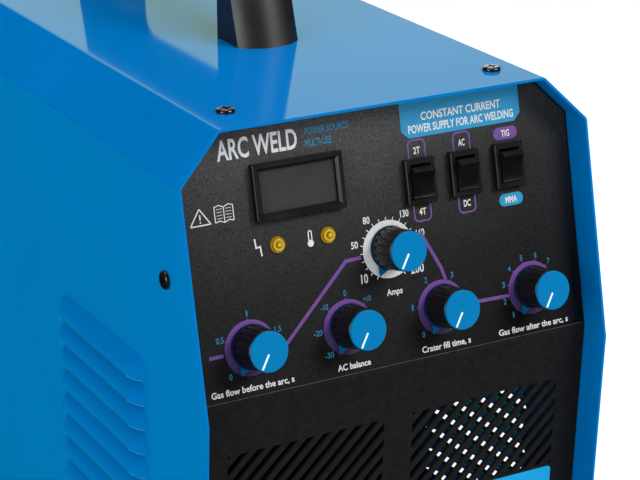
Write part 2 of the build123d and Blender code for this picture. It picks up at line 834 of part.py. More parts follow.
with BuildPart() as fan_frame:
    with BuildSketch(fan_plane):
        RectangleRounded(fan_size, fan_size, 6)
        Circle(fan_bore_radius, mode=Mode.SUBTRACT)
        with GridLocations(guard_screw_pitch, guard_screw_pitch, 2, 2):
            Circle(2.3, mode=Mode.SUBTRACT)
    extrude(amount=-fan_depth)
    with BuildSketch(fan_plane.offset(-fan_depth)):
        Circle(fan_hub_radius)
        with PolarLocations(fan_hub_radius + 18, 4, start_angle=45):
            Rectangle(44, 5)
    extrude(amount=3)
    with BuildSketch(fan_plane.offset(-fan_depth + 3)):
        Circle(fan_shaft_radius)
    extrude(amount=16)
save(fan_frame, "fan_frame")

with BuildPart(fan_plane.offset(-11.5)) as fan_rotor:
    Cylinder(fan_hub_radius - 0.5, 17)
    with PolarLocations(35, blade_count):
        with Locations(Location((0, 0, 0), (36, 0, 0))):
            Box(38, 25, 1.6)
    Cylinder(blade_tip_radius, 17, mode=Mode.INTERSECT)
    with Locations((0, 0, -8.5)):
        Cylinder(
            fan_shaft_radius + 0.05,
            15,
            align=(Align.CENTER, Align.CENTER, Align.MIN),
            mode=Mode.SUBTRACT,
        )
save(fan_rotor, "fan_rotor")

guard_wire = 1.3
guard_foot = 1.4

with BuildPart() as fan_guard:
    for radius in range(10, 60, 8):
        with BuildSketch(rear_face.offset(guard_wire)):
            with Locations(fan_centre):
                Circle(radius + guard_wire)
                Circle(radius - guard_wire, mode=Mode.SUBTRACT)
        extrude(amount=2.0)
    with BuildSketch(rear_face):
        with Locations(fan_centre):
            with PolarLocations(0, 4, start_angle=45):
                with Locations((37.5, 0)):
                    Rectangle(75, 2.6)
    extrude(amount=guard_foot)
    with BuildSketch(rear_face):
        with Locations(fan_centre):
            with GridLocations(guard_screw_pitch, guard_screw_pitch, 2, 2):
                Circle(5)
    extrude(amount=guard_foot)
    with BuildSketch(rear_face):
        with Locations(fan_centre):
            with GridLocations(guard_screw_pitch, guard_screw_pitch, 2, 2):
                Circle(2.3)
    extrude(amount=4, mode=Mode.SUBTRACT)
save(fan_guard, "fan_guard")

with BuildPart() as fan_screws:
    for sx in (-1, 1):
        for sz in (-1, 1):
            offset_x = fan_centre[0] + sx * guard_screw_pitch / 2
            offset_z = fan_centre[1] + sz * guard_screw_pitch / 2
            pan_screw(on_face(rear_face, offset_x, offset_z, guard_foot), 12.0)
save(fan_screws, "fan_screws")

# ---------------------------------------------------------------- mains breaker, gland, gas inlet, earth stud
breaker_depth = 42.0
breaker_proud = 2.5
lever_pivot_depth = -4.0
lever_radius = 8.0
lever_width = 9.0
lever_reach = 11.5
lever_rest = 24.0  # degrees the lever leans down when the machine is off

lever_point = rear_face.from_local_coords(Vector(breaker_centre[0], breaker_centre[1], lever_pivot_depth))
lever_side = Plane(origin=lever_point, x_dir=(0, 0, 1), z_dir=(-1, 0, 0))
lever_tilted = turned_plane(lever_side, lever_rest)

with BuildPart() as breaker:
    with BuildSketch(on_face(rear_face, *breaker_centre)):
        Rectangle(breaker_size[0] + 5, breaker_size[1] + 5)
    extrude(amount=breaker_proud)
    with BuildSketch(on_face(rear_face, *breaker_centre)):
        Rectangle(*breaker_size)
    extrude(amount=-breaker_depth)
    with BuildSketch(lever_side):
        Circle(lever_radius + 0.4)
        Rectangle(18, 20, align=(Align.CENTER, Align.MIN))
    extrude(amount=lever_width / 2 + 0.4, both=True, mode=Mode.SUBTRACT)
    with BuildSketch(lever_side):
        Circle(1.5)
    extrude(amount=lever_width / 2 + 0.5, both=True)
save(breaker, "breaker")

with BuildPart() as breaker_lever:
    with BuildSketch(lever_tilted):
        Circle(lever_radius)
        with Locations((0, lever_radius - 1)):
            Rectangle(5, lever_reach - lever_radius + 4, align=(Align.CENTER, Align.MIN))
        Circle(1.55, mode=Mode.SUBTRACT)
    extrude(amount=lever_width / 2, both=True)
save(breaker_lever, "breaker_lever")

with BuildPart() as cable_gland:
    with BuildSketch(on_face(rear_face, *gland_centre)):
        RegularPolygon(15, 6)
    extrude(amount=6)
    with BuildSketch(on_face(rear_face, *gland_centre, 6)):
        Circle(12)
    extrude(amount=9, taper=12)
    with BuildSketch(on_face(rear_face, *gland_centre)):
        Circle(10)
    extrude(amount=-14)
    with BuildSketch(on_face(rear_face, *gland_centre, -14)):
        Circle(4.5)
    extrude(amount=29, mode=Mode.SUBTRACT)
save(cable_gland, "cable_gland")

barb_reach = panel_recess + rear_overhang
gas_tail_radius = 4.0

with BuildPart() as gas_inlet:
    with BuildSketch(on_face(rear_face, *gas_inlet_centre)):
        RegularPolygon(9.5, 6)
    extrude(amount=6)
    with BuildSketch(on_face(rear_face, *gas_inlet_centre)):
        Circle(gas_tail_radius)
    extrude(amount=barb_reach)
    with BuildSketch(on_face(rear_face, *gas_inlet_centre)):
        Circle(6.0)
    extrude(amount=-14)
    with BuildSketch(on_face(rear_face, *gas_inlet_centre, -14)):
        Circle(gas_bore_radius)
    extrude(amount=14 + barb_reach, mode=Mode.SUBTRACT)
save(gas_inlet, "gas_inlet")

earth_thread_radius = 4.0
earth_stud_length = 14.0

with BuildPart() as earth_stud:
    with BuildSketch(on_face(rear_face, *earth_stud_centre, -4)):
        Circle(earth_thread_radius)
    extrude(amount=4 + earth_stud_length)
    with BuildSketch(on_face(rear_face, *earth_stud_centre)):
        RegularPolygon(7.5, 6)
    extrude(amount=5)
    with BuildSketch(on_face(rear_face, *earth_stud_centre, -panel_sheet)):
        RegularPolygon(7.5, 6)
    extrude(amount=-5)
save(earth_stud, "earth_stud")

# ---------------------------------------------------------------- inside the case
board_x = -14.0
board_front_y = front_y + 185.0
board_back_y = rear_panel_y - fan_depth - 20
board_bottom = floor_of_case + 18

with BuildPart() as power_board:
    with BuildSketch(Plane.YZ.offset(board_x)):
        with Locations(((board_front_y + board_back_y) / 2, board_bottom)):
            Rectangle(board_back_y - board_front_y, 250, align=(Align.CENTER, Align.MIN))
    extrude(amount=2)
    with BuildSketch(Plane.YZ.offset(board_x)):
        with Locations(((board_front_y + board_back_y) / 2, board_bottom + 200)):
            with GridLocations(46, 1, 4, 1):
                Circle(17)
    extrude(amount=-42)
save(power_board, "power_board")

fin_count = 12
sink_height = 150.0

with BuildPart() as heat_sink:
    with BuildSketch(Plane.XY.offset(floor_of_case + 30)):
        with Locations((board_x + 2.4, (board_front_y + board_back_y) / 2)):
            Rectangle(8, 150, align=(Align.MIN, Align.CENTER))
            with GridLocations(1, 150 / fin_count, 1, fin_count):
                Rectangle(60, 2.5, align=(Align.MIN, Align.CENTER))
    extrude(amount=sink_height)
save(heat_sink, "heat_sink")

with BuildPart() as transformer:
    with BuildSketch(Plane.XY.offset(floor_of_case + 0.3)):
        with Locations((-58, (board_front_y + board_back_y) / 2)):
            Rectangle(52, 74)
    extrude(amount=84)
    with BuildSketch(Plane.XY.offset(floor_of_case + 14)):
        with Locations((-58, (board_front_y + board_back_y) / 2)):
            Rectangle(68, 50)
    extrude(amount=56)
save(transformer, "transformer")

with BuildPart() as gas_valve:
    with BuildSketch(Plane.XY.offset(floor_of_case + 0.3)):
        with Locations((-76, front_y + 120)):
            Rectangle(26, 34)
    extrude(amount=30)
    with BuildSketch(Plane.XY.offset(floor_of_case + 30.3)):
        with Locations((-76, front_y + 120)):
            Circle(12)
    extrude(amount=34)
save(gas_valve, "gas_valve")
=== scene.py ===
import json
import math

import bmesh
import bpy
from mathutils import Matrix, Vector


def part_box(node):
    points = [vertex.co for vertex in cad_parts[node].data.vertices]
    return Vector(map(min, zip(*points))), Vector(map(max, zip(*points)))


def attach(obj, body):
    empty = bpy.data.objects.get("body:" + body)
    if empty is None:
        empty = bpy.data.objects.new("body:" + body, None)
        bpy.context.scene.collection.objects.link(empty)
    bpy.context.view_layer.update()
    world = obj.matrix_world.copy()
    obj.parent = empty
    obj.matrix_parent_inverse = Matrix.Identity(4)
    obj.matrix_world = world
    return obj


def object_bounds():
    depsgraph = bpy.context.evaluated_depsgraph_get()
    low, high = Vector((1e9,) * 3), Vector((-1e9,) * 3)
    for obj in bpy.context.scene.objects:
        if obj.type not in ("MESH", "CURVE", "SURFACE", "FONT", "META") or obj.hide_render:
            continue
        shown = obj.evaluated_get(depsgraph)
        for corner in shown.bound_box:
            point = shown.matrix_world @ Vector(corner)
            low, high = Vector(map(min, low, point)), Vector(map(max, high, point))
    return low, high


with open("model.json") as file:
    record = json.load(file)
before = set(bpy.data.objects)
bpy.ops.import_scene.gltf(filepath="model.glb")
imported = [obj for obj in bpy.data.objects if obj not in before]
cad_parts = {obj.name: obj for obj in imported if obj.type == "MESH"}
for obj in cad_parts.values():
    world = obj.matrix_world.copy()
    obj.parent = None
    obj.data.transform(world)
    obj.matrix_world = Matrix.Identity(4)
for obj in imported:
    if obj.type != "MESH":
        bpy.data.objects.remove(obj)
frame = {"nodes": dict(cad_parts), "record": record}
cad_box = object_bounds()
nodes = frame["nodes"]
record = frame["record"]
joints = {j["name"]: j for j in record["behaviour"]["joints"]}

MM = 0.001
KNOBS = (1, 2, 3, 4, 5)
ROCKERS = (1, 2, 3)

# ------------------------------------------------------------------ the control face, from the frame
face_normal = -Vector(joints["knob_1_turn"]["axis"])
face_up = face_normal.cross(Vector((1, 0, 0)))
overlay_points = [v.co for v in nodes["control_overlay"].data.vertices]
overlay_level = max(p.dot(face_normal) for p in overlay_points)
overlay_foot = min(p.dot(face_up) for p in overlay_points)
overlay_head = max(p.dot(face_up) for p in overlay_points)
FOOT_ABOVE_CREASE = 2.0 * MM
face_zero = overlay_foot - FOOT_ABOVE_CREASE


def on_face(x, v, h=0.0):
    """The point of the control face x, v millimetres across and up from the crease, h above the print."""
    up = face_zero + v * MM
    return Vector((x * MM, 0, 0)) + face_up * up + face_normal * (overlay_level + h * MM)


def face_place(joint):
    """Where a joint's axis meets the control face, in the face's own millimetres."""
    p = Vector(joints[joint]["pos_m"])
    return p.x / MM, (p.dot(face_up) - face_zero) / MM


knob_places = [face_place(f"knob_{n}_turn") for n in KNOBS]
rocker_places = [face_place(f"rocker_{n}_tilt") for n in ROCKERS]


# ------------------------------------------------------------------ material helpers
def new_material(name):
    material = bpy.data.materials.new(name)
    material.use_nodes = True
    return material, material.node_tree


def shader_of(tree):
    return next(n for n in tree.nodes if n.type == "BSDF_PRINCIPLED")


def add_node(tree, kind, **settings):
    node = tree.nodes.new(kind)
    for key, value in settings.items():
        setattr(node, key, value)
    return node


def object_coordinates(tree):
    return add_node(tree, "ShaderNodeTexCoord").outputs["Object"]


def noise(tree, scale, detail=3.0, roughness=0.5):
    node = add_node(tree, "ShaderNodeTexNoise")
    node.inputs["Scale"].default_value = scale
    node.inputs["Detail"].default_value = detail
    node.inputs["Roughness"].default_value = roughness
    tree.links.new(object_coordinates(tree), node.inputs["Vector"])
    return node.outputs["Fac"]


def ramp(tree, source, stops):
    node = add_node(tree, "ShaderNodeValToRGB")
    elements = node.color_ramp.elements
    elements[0].position, elements[0].color = stops[0]
    elements[1].position, elements[1].color = stops[-1]
    for position, colour in stops[1:-1]:
        elements.new(position).color = colour
    tree.links.new(source, node.inputs["Fac"])
    return node.outputs["Color"]


def share_along(tree, direction, start, end):
    """How far a point lies from start to end along a direction, from 0 to 1."""
    reach = add_node(tree, "ShaderNodeVectorMath", operation="DOT_PRODUCT")
    tree.links.new(object_coordinates(tree), reach.inputs[0])
    reach.inputs[1].default_value = direction
    share = add_node(tree, "ShaderNodeMapRange")
    share.inputs["From Min"].default_value = start
    share.inputs["From Max"].default_value = end
    tree.links.new(reach.outputs["Value"], share.inputs["Value"])
    return share.outputs["Result"]


def grey(value):
    return (value, value, value, 1)


def set_roughness(tree, source, low, high):
    """Lets the roughness drift between two values with a texture."""
    tones = [(0.2, grey(low)), (0.8, grey(high))]
    tree.links.new(ramp(tree, source, tones), shader_of(tree).inputs["Roughness"])


def bump(tree, height, strength, distance):
    node = add_node(tree, "ShaderNodeBump")
    node.inputs["Strength"].default_value = strength
    node.inputs["Distance"].default_value = distance
    tree.links.new(height, node.inputs["Height"])
    tree.links.new(node.outputs["Normal"], shader_of(tree).inputs["Normal"])


def varied(name, low, high, rough, metallic=0.0, specular=0.5, scale=60.0, grain=900.0, grain_depth=0.02):
    """A surface whose colour and gloss drift between two values, with a fine grain in its relief."""
    material, tree = new_material(name)
    shader = shader_of(tree)
    shader.inputs["Metallic"].default_value = metallic
    shader.inputs["Specular IOR Level"].default_value = specular
    drift = noise(tree, scale)
    tree.links.new(ramp(tree, drift, [(0.3, (*low, 1)), (0.7, (*high, 1))]), shader.inputs["Base Color"])
    set_roughness(tree, drift, *rough)
    if grain_depth:
        bump(tree, noise(tree, grain, 2.0), 0.6, grain_depth * MM)
    return material


# painted sheen: the film is painted paler towards its head; painted shade darkens it towards the right
FILM_PAINTED_SHEEN = [(0.0, 0.12), (0.36, 0.21), (0.52, 0.33), (0.67, 0.46), (0.80, 0.66), (0.95, 1.0)]
FILM_PAINTED_SHADE_END = 75  # painted shade darkens the film from the middle to here, in millimetres


def control_film():
    """Textured black film with painted sheen, paler towards its head, and painted shade, darker towards the
    right.
    """
    material, tree = new_material("control_film")
    shader = shader_of(tree)
    rise = share_along(tree, face_up, overlay_foot, overlay_head)
    fade = ramp(tree, rise, [(at, grey(value)) for at, value in FILM_PAINTED_SHEEN])
    speckle = noise(tree, 1300)
    tone = ramp(tree, speckle, [(0.3, grey(0.024)), (0.7, grey(0.080))])
    blend = add_node(tree, "ShaderNodeVectorMath", operation="MULTIPLY")
    tree.links.new(fade, blend.inputs[0])
    tree.links.new(tone, blend.inputs[1])
    sideways = share_along(tree, (1, 0, 0), 0, FILM_PAINTED_SHADE_END * MM)
    painted_side_shade = ramp(tree, sideways, [(0.0, grey(1.0)), (1.0, grey(0.5))])
    shaded_film_tone = add_node(tree, "ShaderNodeVectorMath", operation="MULTIPLY")
    tree.links.new(blend.outputs["Vector"], shaded_film_tone.inputs[0])
    tree.links.new(painted_side_shade, shaded_film_tone.inputs[1])
    tree.links.new(shaded_film_tone.outputs["Vector"], shader.inputs["Base Color"])
    set_roughness(tree, speckle, 0.42, 0.58)
    shader.inputs["Specular IOR Level"].default_value = 0.25
    bump(tree, noise(tree, 1500, 2.0), 0.6, 0.06 * MM)
    return material


BLUE_DEEP = (0.0, 0.119, 0.358)
BLUE_LIGHT = (0.0, 0.129, 0.386)
cover_paint = varied("blue_powder_coat", BLUE_DEEP, BLUE_LIGHT, (0.4, 0.5), specular=0.0, scale=9,
                     grain=1400, grain_depth=0.004)
cover_shader = shader_of(cover_paint.node_tree)
cover_shader.inputs["Coat Weight"].default_value = 0.6
cover_shader.inputs["Coat Roughness"].default_value = 0.07
cover_shader.inputs["Coat IOR"].default_value = 1.28

finishes = {
    "cover_paint": cover_paint,
    "panel_paint": varied("black_powder_coat", (0.007,) * 3, (0.010,) * 3, (0.5, 0.6), specular=0.10,
                          scale=300, grain=2500, grain_depth=0.03),
    "overlay_print": control_film(),
    "label_print": varied("label_film", (0.0, 0.24, 0.50), (0.0, 0.27, 0.55), (0.35, 0.45), specular=0.2,
                          scale=200, grain=2500, grain_depth=0.01),
    "black_plastic": varied("black_moulding", (0.004,) * 3, (0.007,) * 3, (0.28, 0.38), specular=0.4,
                            scale=120, grain=2200, grain_depth=0.03),
    "rocker_plastic": varied("rocker_moulding", (0.003,) * 3, (0.005,) * 3, (0.16, 0.24), specular=0.25,
                             scale=120, grain=2600, grain_depth=0.01),
    "display_glass": varied("smoked_window", (0.026, 0.025, 0.027), (0.034, 0.033, 0.035), (0.3, 0.4),
                            specular=0.12, scale=40, grain=2000, grain_depth=0.003),
    "circuit_board": varied("solder_mask", (0.01, 0.07, 0.03), (0.02, 0.13, 0.05), (0.35, 0.5), scale=400,
                            grain=900, grain_depth=0.1),
    "brass": varied("turned_brass", (0.62, 0.42, 0.14), (0.75, 0.55, 0.22), (0.22, 0.34), metallic=1.0,
                    scale=200, grain=1200, grain_depth=0.02),
    "zinc_steel": varied("zinc_plate", (0.42, 0.42, 0.40), (0.58, 0.58, 0.55), (0.28, 0.42), metallic=1.0,
                         scale=300, grain=1500, grain_depth=0.02),
    "black_screw": varied("black_oxide", (0.004,) * 3, (0.010,) * 3, (0.16, 0.28), specular=0.6,
                          scale=400, grain=1500, grain_depth=0.02),
    "rubber": varied("foot_rubber", (0.010,) * 3, (0.018,) * 3, (0.7, 0.85), scale=200,
                     grain=1800, grain_depth=0.05),
    "aluminium": varied("extruded_aluminium", (0.55, 0.56, 0.58), (0.68, 0.69, 0.71), (0.3, 0.42),
                        metallic=1.0, scale=150, grain=700, grain_depth=0.03),
    "winding": varied("varnished_copper", (0.16, 0.05, 0.015), (0.32, 0.11, 0.03), (0.3, 0.45), scale=600,
                      grain=500, grain_depth=0.4),
}

# ------------------------------------------------------------------ finishes on the CAD pieces
satin_handle = varied("satin_handle", (0.006,) * 3, (0.009,) * 3, (0.38, 0.46), specular=0.55, scale=80,
                      grain=1800, grain_depth=0.03)
own_finish = {"handle": satin_handle}


def ringed(name, centre, reach, stops, rough, metallic=0.0, specular=0.5):
    """A moulding coloured by distance from a point; the stops run from 0 there to 1 at that reach."""
    material, tree = new_material(name)
    offset = add_node(tree, "ShaderNodeVectorMath", operation="DISTANCE")
    tree.links.new(object_coordinates(tree), offset.inputs[0])
    offset.inputs[1].default_value = centre
    share = add_node(tree, "ShaderNodeMapRange")
    share.inputs["From Max"].default_value = reach * MM
    tree.links.new(offset.outputs["Value"], share.inputs["Value"])
    shader = shader_of(tree)
    tree.links.new(ramp(tree, share.outputs["Result"], stops), shader.inputs["Base Color"])
    drift = noise(tree, 150)
    set_roughness(tree, drift, *rough)
    shader.inputs["Metallic"].default_value = metallic
    shader.inputs["Specular IOR Level"].default_value = specular
    bump(tree, noise(tree, 2600, 2.0), 0.6, 0.015 * MM)
    return material


# the skirt ring and the pointer of a knob are the cap's blue with painted shade, the skirt nearly black and
# the pointer deep blue; the cap is full blue
KNOB_REACH = 21.0  # a little past the rim of the cap, from the foot of the knob's axis
SKIRT_PAINTED_SHADE = (0.0, 0.014, 0.036, 1)
POINTER_PAINTED_SHADE = (0.0, 0.072, 0.19, 1)
CAP_BLUE = (0.0, 0.129, 0.303, 1)
knob_shade_stops = [(0.50, SKIRT_PAINTED_SHADE), (0.535, POINTER_PAINTED_SHADE), (0.75, POINTER_PAINTED_SHADE), (0.80, CAP_BLUE)]
for number, (x, v) in zip(KNOBS, knob_places):
    own_finish[f"knob_trim_{number}"] = ringed(f"knob_blue_{number}", on_face(x, v), KNOB_REACH, knob_shade_stops,
                                               (0.28, 0.36), specular=0.05)

# each lamp's lens shows pale rings of painted highlight and darker rings round its tip
LAMP_REACH = 4.6  # a little past the rim of the lens, from its tip
LAMP_DARK = (0.16, 0.085, 0.0, 1)
LAMP_PAINTED_HIGHLIGHT = (0.80, 0.55, 0.06, 1)
LAMP_GOLD = (0.56, 0.34, 0.01, 1)
lamp_highlight_stops = [(0.0, LAMP_PAINTED_HIGHLIGHT), (0.22, LAMP_GOLD), (0.30, LAMP_DARK), (0.40, LAMP_GOLD), (0.62, LAMP_PAINTED_HIGHLIGHT),
              (0.74, LAMP_DARK), (0.86, LAMP_GOLD), (1.0, LAMP_DARK)]
for name in ("lamp_left", "lamp_right"):
    points = [v.co for v in nodes[name].data.vertices]
    tip_level = max(p.dot(face_normal) for p in points)
    tip = sum(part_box(name), Vector()) / 2
    tip += face_normal * (tip_level - tip.dot(face_normal))
    own_finish[name] = ringed(name + "_lens", tip, LAMP_REACH, lamp_highlight_stops, (0.2, 0.28), metallic=0.35)

slot_of = {s["node"]: s["material_slot"] for s in record["subparts"]}
for name, obj in nodes.items():
    obj.data.materials.clear()
    obj.data.materials.append(own_finish.get(name) or finishes[slot_of[name]])

# ------------------------------------------------------------------ printed graphics
PRINT_DEPTH = 0.05
PRINT_LIFT = 0.02  # gap under the print, so that it never flickers with the film


def ink(name, low, high, rough, scale=900):
    return varied(name, low, high, rough, scale=scale, grain=2500, grain_depth=0.01)


ink_white = ink("white_ink", (0.46,) * 3, (0.56,) * 3, (0.5, 0.6))
ink_purple = ink("purple_ink", (0.095, 0.032, 0.19), (0.125, 0.045, 0.24), (0.45, 0.55))
ink_cyan = ink("cyan_ink", (0.004, 0.12, 0.23), (0.008, 0.155, 0.28), (0.45, 0.55))
ink_pointer = ink("pointer_ink", (0.55, 0.72, 0.80), (0.62, 0.80, 0.88), (0.4, 0.5))
ink_edge_and_highlight = ink("film_edge_ink_and_highlight", (0.045,) * 3, (0.08,) * 3, (0.3, 0.4), scale=300)
ink_banner = ink("banner_ink", (0.0, 0.185, 0.35), (0.0, 0.21, 0.39), (0.4, 0.5), scale=300)

RING_SHADE_REACH = 12  # painted shade darkens the lower row's rings over this far above and below their centres


def faded_ink():
    """Purple ink with painted shade, darker towards the foot of each dial."""
    material, tree = new_material("purple_ink_painted_shade")
    low_end = on_face(0, knob_places[0][1] - RING_SHADE_REACH).z
    high_end = on_face(0, knob_places[0][1] + RING_SHADE_REACH).z
    fade = share_along(tree, (0, 0, 1), low_end, high_end)
    stops = [(0.0, (0.030, 0.014, 0.075, 1)), (0.5, (0.065, 0.024, 0.15, 1)), (1.0, (0.13, 0.045, 0.25, 1))]
    shader = shader_of(tree)
    tree.links.new(ramp(tree, fade, stops), shader.inputs["Base Color"])
    grain = noise(tree, 900)
    set_roughness(tree, grain, 0.45, 0.55)
    bump(tree, grain, 0.6, 0.01 * MM)
    return material


ink_painted_shade = faded_ink()


def face_matrix(x, v, h=0.0):
    """Places a flat drawing in millimetres on the control face."""
    p = on_face(x, v, h)
    return Matrix((
        (MM, 0, 0, p.x),
        (0, face_up.y * MM, face_normal.y * MM, p.y),
        (0, face_up.z * MM, face_normal.z * MM, p.z),
        (0, 0, 0, 1),
    ))


def piece(name, mesh, material, body="root"):
    obj = bpy.data.objects.new(name, mesh)
    bpy.context.scene.collection.objects.link(obj)
    mesh.materials.append(material)
    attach(obj, body)
    return obj


def prism(bm, outline):
    """Adds a flat-ended solid over a closed outline of (x, y) points."""
    top = [bm.verts.new((x, y, PRINT_DEPTH)) for x, y in outline]
    base = [bm.verts.new((x, y, 0)) for x, y in outline]
    bm.faces.new(top)
    bm.faces.new(base[::-1])
    for i in range(len(outline)):
        j = (i + 1) % len(outline)
        bm.faces.new((base[i], base[j], top[j], top[i]))


def stroke(points, width):
    """The outline of a line of that width along the points."""
    left, right = [], []
    for i, (x, y) in enumerate(points):
        before = Vector(points[i]) - Vector(points[i - 1]) if i else Vector(points[1]) - Vector(points[0])
        after = Vector(points[i + 1]) - Vector(points[i]) if i + 1 < len(points) else before
        a, b = before.normalized(), after.normalized()
        tangent = (a + b).normalized()
        normal = Vector((-tangent.y, tangent.x))
        reach = width / 2 / max(0.3, normal.dot(Vector((-a.y, a.x))))
        left.append((x + normal.x * reach, y + normal.y * reach))
        right.append((x - normal.x * reach, y - normal.y * reach))
    return left + right[::-1]


def arc(cx, cy, radius, start, end, steps=None):
    """Points round a circle, from start to end degrees clockwise from straight up."""
    steps = steps or max(2, int(abs(end - start) / 5))
    turns = [math.radians(start + (end - start) * k / steps) for k in range(steps + 1)]
    return [(cx + radius * math.sin(t), cy + radius * math.cos(t)) for t in turns]


def ring(cx, cy, inner, outer, start, end):
    return arc(cx, cy, outer, start, end) + arc(cx, cy, inner, end, start)


def whole_ring(cx, cy, inner, outer):
    return [ring(cx, cy, inner, outer, start, start + 180) for start in (0, 180)]


def rounded_box(x0, y0, x1, y1, radius):
    corners = ((x1, y1, 0), (x1, y0, 90), (x0, y0, 180), (x0, y1, 270))
    points = []
    for x, y, start in corners:
        cx = x - math.copysign(radius, x - (x0 + x1) / 2)
        cy = y - math.copysign(radius, y - (y0 + y1) / 2)
        points += arc(cx, cy, radius, start, start + 90, 5)
    return points


def drawing(name, outlines, material, at=(0, 0), height=PRINT_LIFT, body="root"):
    """One printed piece made of several closed outlines, laid on the control face."""
    bm = bmesh.new()
    for outline in outlines:
        prism(bm, outline)
    bmesh.ops.recalc_face_normals(bm, faces=bm.faces)
    bm.transform(face_matrix(*at, height))
    mesh = bpy.data.meshes.new(name)
    bm.to_mesh(mesh)
    bm.free()
    return piece(name, mesh, material, body)


def lettering(name, words, material, height=PRINT_LIFT):
    """One printed piece of several words: (text, x, y, letter height, width of the word, alignment)."""
    bm = bmesh.new()
    for text, x, y, size, width, align in words:
        curve = bpy.data.curves.new(name + "_line", "FONT")
        curve.body = text
        curve.size = 1.0
        curve.extrude = 0.5
        curve.resolution_u = 3
        curve.offset = LETTER_WEIGHT
        holder = bpy.data.objects.new(name + "_line", curve)
        bpy.context.scene.collection.objects.link(holder)
        bpy.context.view_layer.update()
        mesh = bpy.data.meshes.new_from_object(holder.evaluated_get(bpy.context.evaluated_depsgraph_get()))
        left = min(v.co.x for v in mesh.vertices)
        right = max(v.co.x for v in mesh.vertices)
        start = x - (width / 2 if align == "CENTER" else 0)
        mesh.transform(Matrix.Translation((-left, 0, 0.5)))
        mesh.transform(Matrix.Diagonal((width / (right - left), size / CAPITAL_HEIGHT, PRINT_DEPTH, 1)))
        mesh.transform(Matrix.Translation((start, y, 0)))
        bm.from_mesh(mesh)
        bpy.data.objects.remove(holder)
        bpy.data.curves.remove(curve)
        bpy.data.meshes.remove(mesh)
    bm.transform(face_matrix(0, 0, height))
    mesh = bpy.data.meshes.new(name)
    bm.to_mesh(mesh)
    bm.free()
    return piece(name, mesh, material)


CAPITAL_HEIGHT = 0.70
LETTER_WEIGHT = 0.02
LETTER_PITCH = 0.56  # width of a small figure or letter over its height

# the five dials
PRINT_OFFSET = (-0.5, -0.6)  # the print sits a little low and left of the shafts
RING_INNER = 9.0
RING_OUTER = 12.9
MAIN_RING_OUTER = 13.6
SCALE_START = -135.0
SCALE_END = 135.0
NUMBER_RADIUS = 15.9
DIGIT_HEIGHT = 2.7
MAIN_NUMBER_RADIUS = 18.3
TICK_LENGTH = 0.8
TICK_WIDTH = 0.5
MAIN_TICKS = 21
MAIN_TICK_LENGTH = 1.5
MAIN_TICK_WIDTH = 0.42
MAIN_TICK_START = -150.0
MAIN_TICK_END = 150.0
scales = {
    1: ["0", "0.5", "1", "1.5", "2"],
    2: ["-30", "-20", "-10", "0", "+10", "+20", "+30"],
    4: ["0", "1", "2", "3", "4", "5"],
    5: ["1", "2", "3", "4", "5", "6", "7", "8", "9", "10"],
}
main_scale = {10: 4.2, 50: 3.2, 80: 3.2, 130: 3.2, 160: 3.2, 200: 4.2}  # current and figure height
MAIN_LOW, MAIN_HIGH = 10, 200
MAIN_SCALE_INSET = 6  # degrees its end figures stand inside the other scales' ends


def number_word(place, label, angle, radius, size):
    """A number centred at an angle and radius round a dial."""
    turn = math.radians(angle)
    x = place[0] + radius * math.sin(turn)
    y = place[1] + radius * math.cos(turn) - size / 2
    width = size * LETTER_PITCH * (len(label) - 0.4 * label.count(".") - 0.45 * label.count("1"))
    return (label, x, y, size, width, "CENTER")


def spread(start, end, count):
    return [start + (end - start) * index / (count - 1) for index in range(count)]


def ticks(place, angles, inner, outer, width):
    """Short radial strokes round a dial."""
    strokes = []
    for angle in angles:
        dx, dy = math.sin(math.radians(angle)), math.cos(math.radians(angle))
        strokes.append(stroke([(place[0] + r * dx, place[1] + r * dy) for r in (inner, outer)], width))
    return strokes


dial_centres = [(x + PRINT_OFFSET[0], v + PRINT_OFFSET[1]) for x, v in knob_places]
rings = []
cyan_words = []
for number, labels in scales.items():
    place = dial_centres[number - 1]
    angles = spread(SCALE_START, SCALE_END, len(labels))
    rings += whole_ring(*place, RING_INNER, RING_OUTER)
    rings += ticks(place, angles, RING_OUTER, RING_OUTER + TICK_LENGTH, TICK_WIDTH)
    cyan_words += [number_word(place, n, a, NUMBER_RADIUS, DIGIT_HEIGHT) for n, a in zip(labels, angles)]
main = dial_centres[2]
main_shapes = whole_ring(*main, RING_INNER, MAIN_RING_OUTER)
main_angles = spread(MAIN_TICK_START, MAIN_TICK_END, MAIN_TICKS)
main_shapes += ticks(main, main_angles, MAIN_RING_OUTER, MAIN_RING_OUTER + MAIN_TICK_LENGTH, MAIN_TICK_WIDTH)
main_words = []
for current, size in main_scale.items():
    share = (current - MAIN_LOW) / (MAIN_HIGH - MAIN_LOW)
    angle = SCALE_START + MAIN_SCALE_INSET + (SCALE_END - SCALE_START - 2 * MAIN_SCALE_INSET) * share
    main_words.append(number_word(main, str(current), angle, MAIN_NUMBER_RADIUS, size))
# the rings' purple ink carries painted shade, darker towards their feet
drawing("print_rings", rings, ink_painted_shade)
drawing("print_main_ring", main_shapes, ink_white)
lettering("print_dial_numbers", cyan_words, ink_cyan)
lettering("print_main_numbers", main_words, ink_white)

